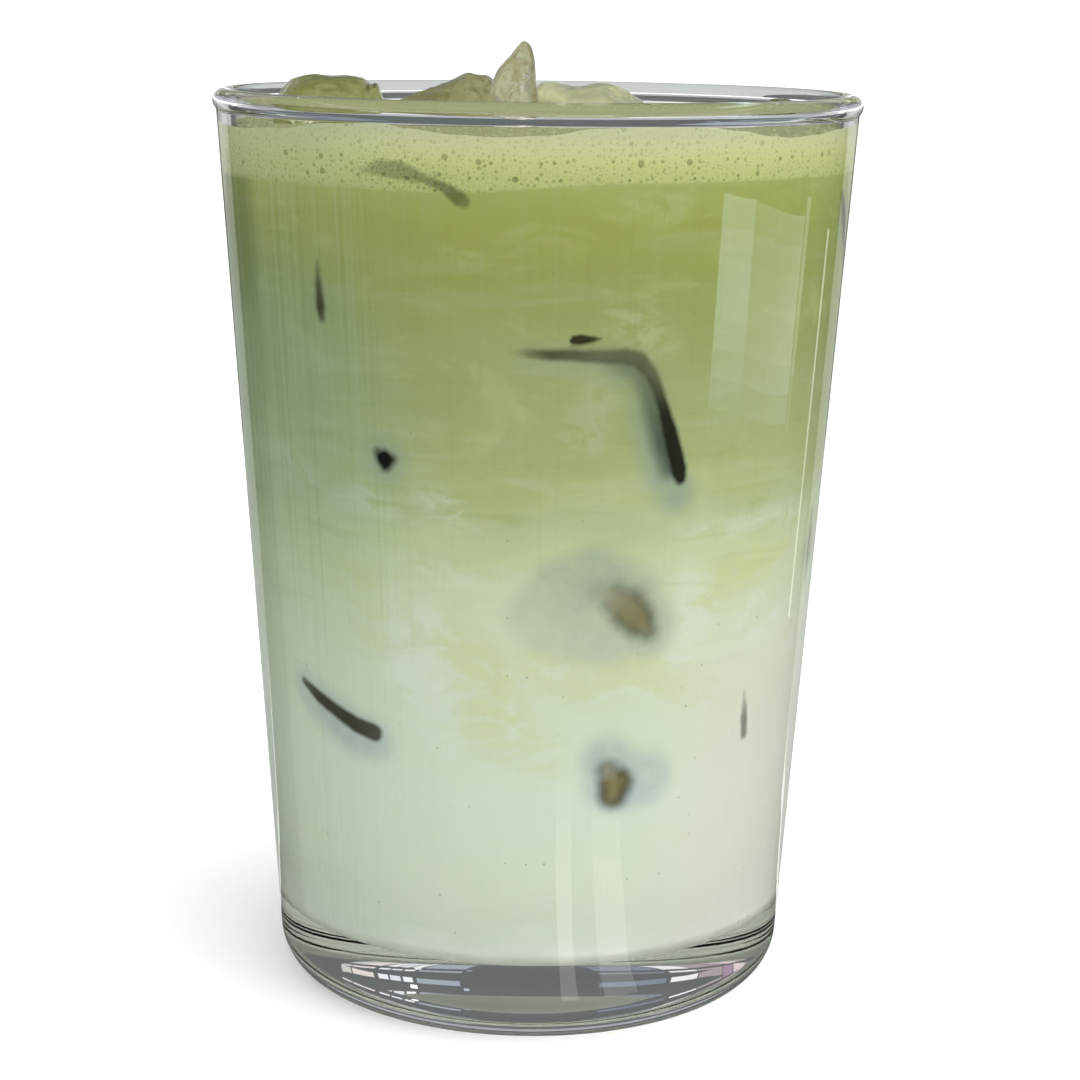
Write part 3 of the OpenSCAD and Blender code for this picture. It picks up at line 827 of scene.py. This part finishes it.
    # the wood-brown of deep drink shows in the middle of the larger ones
    deep = m.math("ADD", depth, m.centred(flow(1.1, 0.25, 4.4, 2.0, 0.5), 1.6))
    deep = m.times(m.range(deep, 0.0, 1.7, 0.0, 0.85), m.range(m.attr("brown"), 0.9, 1.3))
    brown = m.math("MULTIPLY", m.attr("brown"), 1.0, clamp=True)
    dark = m.mix(deep, m.mix(brown, rgb(14, 18, 18), rgb(60, 58, 34)), rgb(134, 120, 70))
    col = m.mix(touch, col, dark)
    bsdf = m.add("ShaderNodeBsdfPrincipled")
    if foam:
        # the top of the foam is a close cover of bubbles, with painted shade in the pits round the ice
        cell = 0.7
        cover = dots(cell, 0.10, 0.32, 0.7, m.vector(m.times(x, 1 / cell), m.times(y, 1 / cell)))
        top = m.mix(m.times(cover, 0.4), rgb(152, 156, 112, gain=0.85), rgb(122, 128, 82, gain=0.85))
        top = m.mix(m.times(m.attr("pit"), 0.8), top, rgb(112, 118, 66, gain=0.9))
        col = m.mix(m.attr("top"), col, top)
        bump = m.add("ShaderNodeBump", invert=True)
        bump.inputs["Strength"].default_value = 0.35
        bump.inputs["Distance"].default_value = 0.0002
        m.link(m.times(cover, m.attr("top")), bump.inputs["Height"])
        m.link(bump.outputs[0], bsdf.inputs["Normal"])
    m.link(col, bsdf.inputs["Base Color"])
    bsdf.inputs["Roughness"].default_value = 0.45 if foam else 0.4
    bsdf.inputs["IOR"].default_value = 1.34
    bsdf.inputs["Specular IOR Level"].default_value = 0.2 if foam else 0.06
    m.link(bsdf.outputs[0], m.out.inputs[0])
    return m.mat


def clear_material(name, colour, ior, rough, streaks=None, bump=0.0, share=1.0):
    """Clear glass or ice that lets the light of the room through to what is behind it."""
    m = Nodes(name)
    place = m.in_mm()
    bsdf = m.add("ShaderNodeBsdfPrincipled")
    bsdf.inputs["Roughness"].default_value = rough
    bsdf.inputs["IOR"].default_value = ior
    bsdf.inputs["Transmission Weight"].default_value = share
    if streaks:
        n = m.noise(m.scaled(place, 1, 1, 0.45), 0.32, 4.0, 0.6, 2.2)
        m.link(m.mix(m.range(n, 0.42, 0.66), colour, streaks), bsdf.inputs["Base Color"])
    else:
        bsdf.inputs["Base Color"].default_value = colour
    if bump:
        b = m.add("ShaderNodeBump")
        b.inputs["Strength"].default_value = bump
        b.inputs["Distance"].default_value = 0.0004
        m.link(m.noise(place, 0.6, 3.0, 0.55, 0.8), b.inputs["Height"])
        m.link(b.outputs[0], bsdf.inputs["Normal"])
    path = m.add("ShaderNodeLightPath")
    clear = m.add("ShaderNodeBsdfTransparent")
    clear.inputs[0].default_value = tuple(0.5 + 0.5 * c for c in colour[:3]) + (1,)
    mix = m.add("ShaderNodeMixShader")
    m.link(path.outputs["Is Shadow Ray"], mix.inputs[0])
    m.link(bsdf.outputs[0], mix.inputs[1])
    m.link(clear.outputs[0], mix.inputs[2])
    m.link(mix.outputs[0], m.out.inputs[0])
    return m.mat


body = drink_material("matcha and milk")
milk.data.materials.append(body)
blend.data.materials.append(body)
matcha.data.materials.append(body)
foam.data.materials.append(drink_material("matcha foam", foam=True))
glass.data.materials.append(clear_material("clear glass", (0.985, 0.992, 0.988, 1), 1.5, 0.0))

ICE_LOOK = {  # colour, streaks, roughness, share of clear
    "ice_slab": ((0.77, 0.78, 0.56, 1), (0.62, 0.63, 0.40, 1), 0.10, 1.0),
    "ice_ridge": ((0.84, 0.81, 0.66, 1), (0.60, 0.54, 0.40, 1), 0.10, 0.96),
    "ice_spike": ((0.99, 0.985, 0.93, 1), (0.68, 0.58, 0.44, 1), 0.06, 0.91),
    "ice_chunk": ((0.92, 0.93, 0.74, 1), (0.80, 0.82, 0.58, 1), 0.09, 0.80),
    "ice_nub": ((0.52, 0.55, 0.36, 1), (0.42, 0.44, 0.26, 1), 0.06, 1.0),
}
for name, (colour, vein, rough, clear) in ICE_LOOK.items():
    ice[name].data.materials.append(clear_material(name.replace("_", " "), colour, 1.31, rough, vein, 0.3, clear))

film = Nodes("foam bubble")
skin = film.add("ShaderNodeBsdfPrincipled")
skin.inputs["Base Color"].default_value = rgb(160, 165, 118, gain=0.9)
skin.inputs["Roughness"].default_value = 0.25
skin.inputs["IOR"].default_value = 1.34
film.link(skin.outputs[0], film.out.inputs[0])
bubbles.data.materials.append(film.mat)

# ---------- floor, cards and lights
scene = bpy.context.scene


def flat(name, pts, colour, glow=None, hidden=False):
    """A flat stage piece in mm: matt, or glowing.

    A hidden one is met only by mirror and glass rays that have not lit the drink.
    """
    me = bpy.data.meshes.new(name)
    me.from_pydata([tuple(c * MM for c in p) for p in pts], [], [tuple(range(len(pts)))])
    ob = bpy.data.objects.new(name, me)
    scene.collection.objects.link(ob)
    m = Nodes(name)
    if glow is None:
        d = m.add("ShaderNodeBsdfDiffuse")
        d.inputs[0].default_value = colour
    else:
        d = m.add("ShaderNodeEmission")
        d.inputs[0].default_value = colour
        d.inputs[1].default_value = glow
    if hidden:
        path, clear = m.add("ShaderNodeLightPath"), m.add("ShaderNodeBsdfTransparent")
        mix = m.add("ShaderNodeMixShader")
        m.link(m.math("GREATER_THAN", path.outputs["Diffuse Depth"], 0.5), mix.inputs[0])
        m.link(d.outputs[0], mix.inputs[1])
        m.link(clear.outputs[0], mix.inputs[2])
        d = mix
        ob.visible_camera = ob.visible_diffuse = ob.visible_shadow = False
    m.link(d.outputs[0], m.out.inputs[0])
    me.materials.append(m.mat)
    return ob


WHITE, FLOOR_Z, CARD_Z, GREY_Z = (0.93, 0.93, 0.93, 1), -0.03, -0.02, -0.025
SIDE, FAR, END, END_Z = 16000, 9000, 10000, 577  # the floor's half width, its depth, and where it has risen to
flat("floor", [(-SIDE, -FAR, FLOOR_Z), (SIDE, -FAR, FLOOR_Z), (SIDE, FAR, FLOOR_Z), (-SIDE, FAR, FLOOR_Z)], WHITE)
flat("floor rise", [(-SIDE, FAR, FLOOR_Z), (SIDE, FAR, FLOOR_Z), (SIDE, END, END_Z), (-SIDE, END, END_Z)], WHITE)
turns = [t / 32 * math.tau for t in range(32)]
# painted shade: a dark disc on the floor under the foot, so the base looks dark
flat("painted shade under foot", [(29 * math.sin(t), 29 * math.cos(t), -0.015) for t in turns], (0.05, 0.05, 0.05, 1))
# dark card on the floor, open in a wedge behind the glass
card = [(41, 18), (90, 75), (185, 201), (700, 921), (1800, 2400), (3200, 2400), (3200, -3000)]
card = [(-x, y, CARD_Z) for x, y in card[::-1]] + [(x, y, CARD_Z) for x, y in card]
flat("dark card", card, (0.085, 0.09, 0.085, 1), 1.0, hidden=True)


def behind(x0, a0, x1, a1, y0, y1, glow):
    """Grey floor from y0 to y1 behind the glass, between lines that start at x0 and x1 and lean out by a0 and a1."""
    pts = [(x0 + y0 * math.tan(a0), y0), (x1 + y0 * math.tan(a1), y0)]
    pts += [(x1 + y1 * math.tan(a1), y1), (x0 + y1 * math.tan(a0), y1)]
    flat("grey floor", [(x, y, GREY_Z) for x, y in pts], (0.97, 1, 1, 1), glow, hidden=True)


# grey floor straight behind, and two fans that open from the sides of the glass, darker where they are met at a glance
glance, fan_in, fan_out = math.radians(7), math.radians(19), math.radians(40)
side_x = RIM / 2
behind(-side_x, -glance, side_x, glance, side_x + 4, 6000, 0.66)
FAN = ((4, 120, 0.42, 0.46), (120, 420, 0.40, 0.50), (420, 1100, 0.16, 0.52), (1100, 6000, 0.14, 0.66))
for y0, y1, dark, light in FAN:
    for turn in (-1, 1):
        behind(turn * side_x, turn * glance, turn * side_x, turn * fan_in, y0, y1, dark)
        behind(turn * side_x, turn * fan_in, turn * side_x, turn * fan_out, y0, y1, light)


def out_at(az, r, z):
    """A point r mm out from the axis, az degrees round from the front."""
    return r * math.sin(math.radians(az)), -r * math.cos(math.radians(az)), z


def strip(az0, az1, d, z0, z1, colour, glow):
    """An upright card d mm away between two angles round the glass."""
    pts = [out_at(az, d, z) for az, z in ((az0, z0), (az1, z0), (az1, z1), (az0, z1))]
    flat("strip", pts, colour, glow, hidden=True)


def low_strip(az, half, r0, r1, colour, glow):
    """A card that lies on the floor in front, from r0 to r1 mm out."""
    pts = [out_at(a, r, 0.2) for a, r in ((az - half, r0), (az + half, r0), (az + half, r1), (az - half, r1))]
    flat("low strip", pts, colour, glow, hidden=True)


# window at the right, mirrored in the wall, brightest at its middle height
for i in range(8):
    z = 36 + 6 * i
    strip(62.5, 76, 200, z, z + 6, (0.78, 0.93, 1, 1), (0.5, 1.1, 1.9, 2.7, 3.2, 3.3, 3.1, 2.6)[i])
    strip(76, 103, 200, z, z + 6, (0.88, 0.95, 1, 1), (0.3, 0.8, 1.3, 1.7, 1.8, 1.7, 1.5, 1.2)[i])
for i in range(4):
    strip(103.5, 105.3, 200, 40 + 12 * i, 52 + 12 * i, (0.95, 1, 1, 1), (0.5, 1.0, 1.3, 1.1)[i])
strip(121, 123, 200, 2, 84, (1, 1, 0.95, 1), 1.6)
# pale streaks low at the front
for i in range(6):
    low_strip(12, 2.4, 48 + 14 * i, 62 + 14 * i, (1, 1, 0.92, 1), (2.0, 1.9, 1.6, 1.2, 0.7, 0.3)[i])
    low_strip(27, 5.0, 48 + 14 * i, 62 + 14 * i, (1, 1, 0.92, 1), (1.6, 1.5, 1.3, 0.9, 0.5, 0.2)[i])
# windows of the room behind, seen in the base
WINDOWS_BEHIND = (
    (146.3, 149.3, (0.9, 0.92, 0.88, 1), 0.75), (149.7, 155.4, (1, 0.92, 0.88, 1), 0.85),
    (156.5, 158.7, (0.93, 0.97, 1, 1), 1.0), (159.1, 161.2, (0.9, 0.95, 1, 1), 0.9),
    (161.7, 163.5, (0.95, 1, 1, 1), 1.0), (164.2, 171, (0.8, 0.9, 1, 1), 0.5),
    (-170, -158.5, (0.7, 0.8, 1, 1), 0.35), (-157.5, -151, (1, 1, 1, 1), 0.95),
    (-150.6, -142.9, (0.85, 0.72, 0.72, 1), 0.55), (-142.5, -138.4, (0.75, 0.52, 0.72, 1), 0.6),
    (-138, -131.8, (1, 0.84, 0.84, 1), 0.9), (-131.4, -126, (1, 0.78, 0.76, 1), 0.7),
)
for a0, a1, colour, glow in WINDOWS_BEHIND:
    strip(a0, a1, 1000, 374, 412, colour, glow)  # shows through the wall behind
    strip(a0, a1, 1000, 480, 800, colour, glow)  # shows through the rounded foot behind
strip(162.8, 164.0, 1000, 430, 458, (1, 1, 1, 1), 1.5)
strip(171.5, 172.3, 1000, 428, 446, (0.7, 0.8, 0.9, 1), 0.8)
# windows of the room in front, seen in the rim
WINDOWS_FRONT = (
    (-80, -45, 132, 150, (0.9, 0.75, 0.95, 1), 0.9), (-45, -8, 140, 156, (0.85, 0.7, 0.85, 1), 0.9),
    (-8, 30, 132, 168, (0.85, 0.92, 1, 1), 1.7), (30, 44, 140, 150, (1, 1, 1, 1), 1.0),
    (44, 80, 130, 176, (1, 1, 1, 1), 1.5), (-60, 70, 215, 228, (0.9, 1, 0.95, 1), 1.2),
    (-80, 80, 300, 420, (1, 1, 1, 1), 0.55),
)
for a0, a1, z0, z1, colour, glow in WINDOWS_FRONT:
    strip(a0, a1, 1000, z0, z1, colour, glow)
# pale bands low behind, seen under the bead
for z0, z1, colour, glow in ((330, 480, (0.9, 0.92, 0.95, 1), 0.42), (480, 560, (1, 0.95, 1, 1), 0.95),
                             (560, 760, (0.80, 0.72, 0.86, 1), 0.50), (760, 900, (0.85, 0.95, 1, 1), 0.7)):
    strip(130, 230, 8000, z0, z1, colour, glow)
# the dim room beyond, for mirror and glass rays alone: four walls and a ceiling
ROOM = 15000
corners = [(-1, 1), (1, 1), (1, -1), (-1, -1)]
walls = [[(*a, 0), (*b, 0), (*b, 1), (*a, 1)] for a, b in zip(corners, corners[1:] + corners[:1])]
for pts in walls + [[(x, y, 1) for x, y in corners]]:
    flat("room", [(x * ROOM, y * ROOM, z * ROOM) for x, y, z in pts], (0.93, 1, 1, 1), 0.15, hidden=True)


def soft_sun(name, strength, wide, el, az):
    """Even light from a wide patch of sky, el degrees up and az degrees round from the front."""
    sun = bpy.data.lights.new(name, "SUN")
    sun.energy = strength
    sun.angle = math.radians(wide)
    ob = bpy.data.objects.new(name, sun)
    el, az = math.radians(el), math.radians(az)
    towards = Vector((math.cos(el) * math.sin(az), -math.cos(el) * math.cos(az), math.sin(el)))
    ob.rotation_mode = "QUATERNION"
    ob.rotation_quaternion = (-towards).to_track_quat("-Z", "Y")
    scene.collection.objects.link(ob)


soft_sun("soft key", 2.55, 54, 66, 46)
soft_sun("fill", 0.6, 70, 24, -72)
soft_sun("from behind", 0.5, 90, 40, 190)

world = bpy.data.worlds.new("studio")
world.use_nodes = True
sky = world.node_tree
dim, white_sky = sky.nodes["Background"], sky.nodes.new("ShaderNodeBackground")
dim.inputs[0].default_value = (0.97, 1, 1, 1)
dim.inputs[1].default_value = 0.6
white_sky.inputs[0].default_value = (1, 1, 1, 1)
# white where it is seen past the floor, dimmer as a light
path, pick = sky.nodes.new("ShaderNodeLightPath"), sky.nodes.new("ShaderNodeMixShader")
sky.links.new(path.outputs["Is Camera Ray"], pick.inputs[0])
sky.links.new(dim.outputs[0], pick.inputs[1])
sky.links.new(white_sky.outputs[0], pick.inputs[2])
sky.links.new(pick.outputs[0], sky.nodes["World Output"].inputs[0])
scene.world = world

CAM_AT = (1.0144, -353.2459, 137.2477)
CAM_DOWN, CAM_ROLL = 0.2096, 0.0125  # radians
cam_data = bpy.data.cameras.new("camera")
cam_data.sensor_width = 36
cam_data.lens = 84.856
cam_data.clip_start, cam_data.clip_end = 0.01, 60
cam = bpy.data.objects.new("camera", cam_data)
turn = Matrix.Rotation(math.pi / 2 - CAM_DOWN, 4, "X") @ Matrix.Rotation(CAM_ROLL, 4, "Z")
cam.matrix_world = Matrix.Translation(Vector(CAM_AT) * MM) @ turn
scene.collection.objects.link(cam)
scene.camera = cam
scene.view_settings.view_transform = "Standard"
